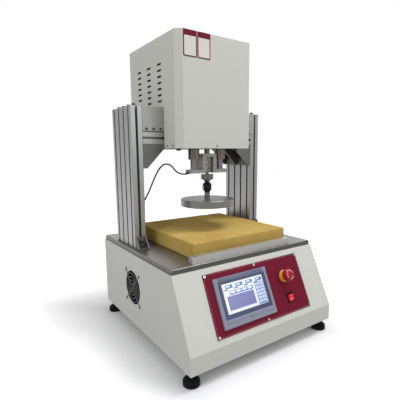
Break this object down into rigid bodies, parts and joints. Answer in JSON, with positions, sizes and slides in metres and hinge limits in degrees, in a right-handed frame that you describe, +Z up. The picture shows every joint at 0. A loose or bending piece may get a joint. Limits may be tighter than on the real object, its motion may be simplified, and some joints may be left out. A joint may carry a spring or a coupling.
{
  "type": "foam indentation hardness tester",
  "caption": "Bench foam hardness tester: a slotted aluminium frame carries a screw-driven head that presses a round indenter into a foam slab on a vented plate above a sloped console.",
  "frame": {"origin": "on the floor, under the middle of the machine's outline", "axes": "+X to the machine's right as the operator sees it, +Y to its back, +Z up"},
  "size_m": [0.589, 0.63, 1.006],
  "materials": {
    "cabinet_paint": "light warm grey powder coat, fine texture",
    "panel_paint": "burgundy enamel, satin",
    "plate_aluminium": "milled and fine-blasted, with bright cut edges",
    "profile_aluminium": "extruded, silver anodised",
    "machined_aluminium": "milled, clear anodised",
    "cast_aluminium": "die-cast, tumbled",
    "ground_steel": "ground and hard-chromed",
    "bushing_steel": "turned",
    "machined_steel": "turned, bright",
    "cell_steel": "nickel-plated",
    "disc_steel": "faced on a lathe, bright rim",
    "black_oxide_steel": "black oxide, oiled",
    "dark_fasteners": "black oxide",
    "bright_fasteners": "zinc-plated",
    "foot_rubber": "moulded, matt",
    "belt_rubber": "matt",
    "cable_jacket": "smooth flexible jacket",
    "foam": "open-cell polyurethane foam, fine pores",
    "black_plastic": "moulded, satin",
    "screen_plastic": "grey moulded, fine texture",
    "screen_glass": "clear over a lit display",
    "yellow_plastic": "moulded",
    "red_plastic": "moulded",
    "motor_paint": "black paint",
    "electrics_metal": "folded sheet",
    "electrics_plastic": "moulded"
  },
  "bodies": {
    "frame": {"base_cabinet": "cabinet_paint", "base_covers": "cabinet_paint", "cover_screws": "bright_fasteners", "power_inlet": "black_plastic", "levelling_feet": "foot_rubber", "foot_stems": "bright_fasteners", "top_plate": "plate_aluminium", "plate_screws": "bright_fasteners", "fence_bar": "plate_aluminium", "foam_specimen": "foam", "left_column": "profile_aluminium", "right_column": "profile_aluminium", "crossbeam": "profile_aluminium", "column_screws": "dark_fasteners", "foot_brackets": "cast_aluminium", "gussets": "cast_aluminium", "frame_screws": "dark_fasteners", "tie_plate": "machined_aluminium", "tie_plate_screws": "dark_fasteners", "head_housing": "cabinet_paint", "head_rear_cover": "cabinet_paint", "head_plate": "machined_aluminium", "guide_bushings": "bushing_steel", "cable_clip": "black_plastic", "drive_frame": "machined_aluminium", "servo_motor": "motor_paint", "drive_belt": "belt_rubber", "control_panel": "panel_paint", "panel_screws": "bright_fasteners", "touchscreen_housing": "screen_plastic", "touchscreen_glass": "screen_glass", "estop_collar": "yellow_plastic", "estop_contact_block": "black_plastic", "switch_bezel": "black_plastic", "fan_frame": "black_plastic", "fan_guard": "bright_fasteners", "fan_screws": "bright_fasteners", "power_supply": "electrics_metal", "servo_drive": "electrics_plastic", "controller": "electrics_metal"},
    "crosshead": {"guide_rods": "ground_steel", "crosshead_bracket": "machined_aluminium", "load_cell": "cell_steel", "load_cell_cable": "cable_jacket", "push_tube": "ground_steel", "spindle_adapter": "machined_steel", "indenter_coupling": "black_oxide_steel", "coupling_screw": "bright_fasteners", "indenter_rod": "machined_steel", "indenter_disc": "disc_steel", "carriage": "machined_aluminium", "ball_nut": "machined_steel"},
    "ball_screw": {"ball_screw": "ground_steel"},
    "motor_rotor": {"motor_shaft": "ground_steel"},
    "fan_rotor": {"fan_rotor": "black_plastic"},
    "stop_plunger": {"estop_stem": "black_plastic"},
    "stop_knob": {"estop_knob": "red_plastic"},
    "power_rocker": {"switch_rocker": "red_plastic"}
  },
  "joints": [
    {"name": "crosshead_slide", "type": "slide", "parent": "frame", "child": "crosshead", "axis": [0, 0, 1], "range_m": [-0.112, 0], "deforming": ["foam_specimen"]},
    {"name": "screw_turn", "type": "hinge", "parent": "frame", "child": "ball_screw", "pos_m": [0, 0.02, 0.905], "axis": [0, 0, 1], "range_deg": [-10, 4100]},
    {"name": "motor_turn", "type": "hinge", "parent": "frame", "child": "motor_rotor", "pos_m": [0, 0.12, 0.905], "axis": [0, 0, 1], "range_deg": [-10, 4100]},
    {"name": "fan_spin", "type": "hinge", "parent": "frame", "child": "fan_rotor", "pos_m": [-0.27, 0.051, 0.1745], "axis": [1, 0, 0], "continuous": true},
    {"name": "stop_push", "type": "slide", "parent": "frame", "child": "stop_plunger", "axis": [0, 0.9051, -0.4251], "range_m": [0, 0.004]},
    {"name": "stop_twist", "type": "hinge", "parent": "stop_plunger", "child": "stop_knob", "pos_m": [0.113, -0.25686, 0.21878], "axis": [0, 0.9051, -0.4251], "range_deg": [0, 30], "stiffness_Nm_per_rad": 0.2},
    {"name": "rocker_tilt", "type": "hinge", "parent": "frame", "child": "power_rocker", "pos_m": [0.117, -0.28683, 0.15497], "axis": [1, 0, 0], "range_deg": [-20, 0]}
  ],
  "couplings": [
    {"joint": "screw_turn", "follows": "crosshead_slide", "rad_per_m": -628.32},
    {"joint": "motor_turn", "follows": "crosshead_slide", "rad_per_m": -628.32}
  ]
}
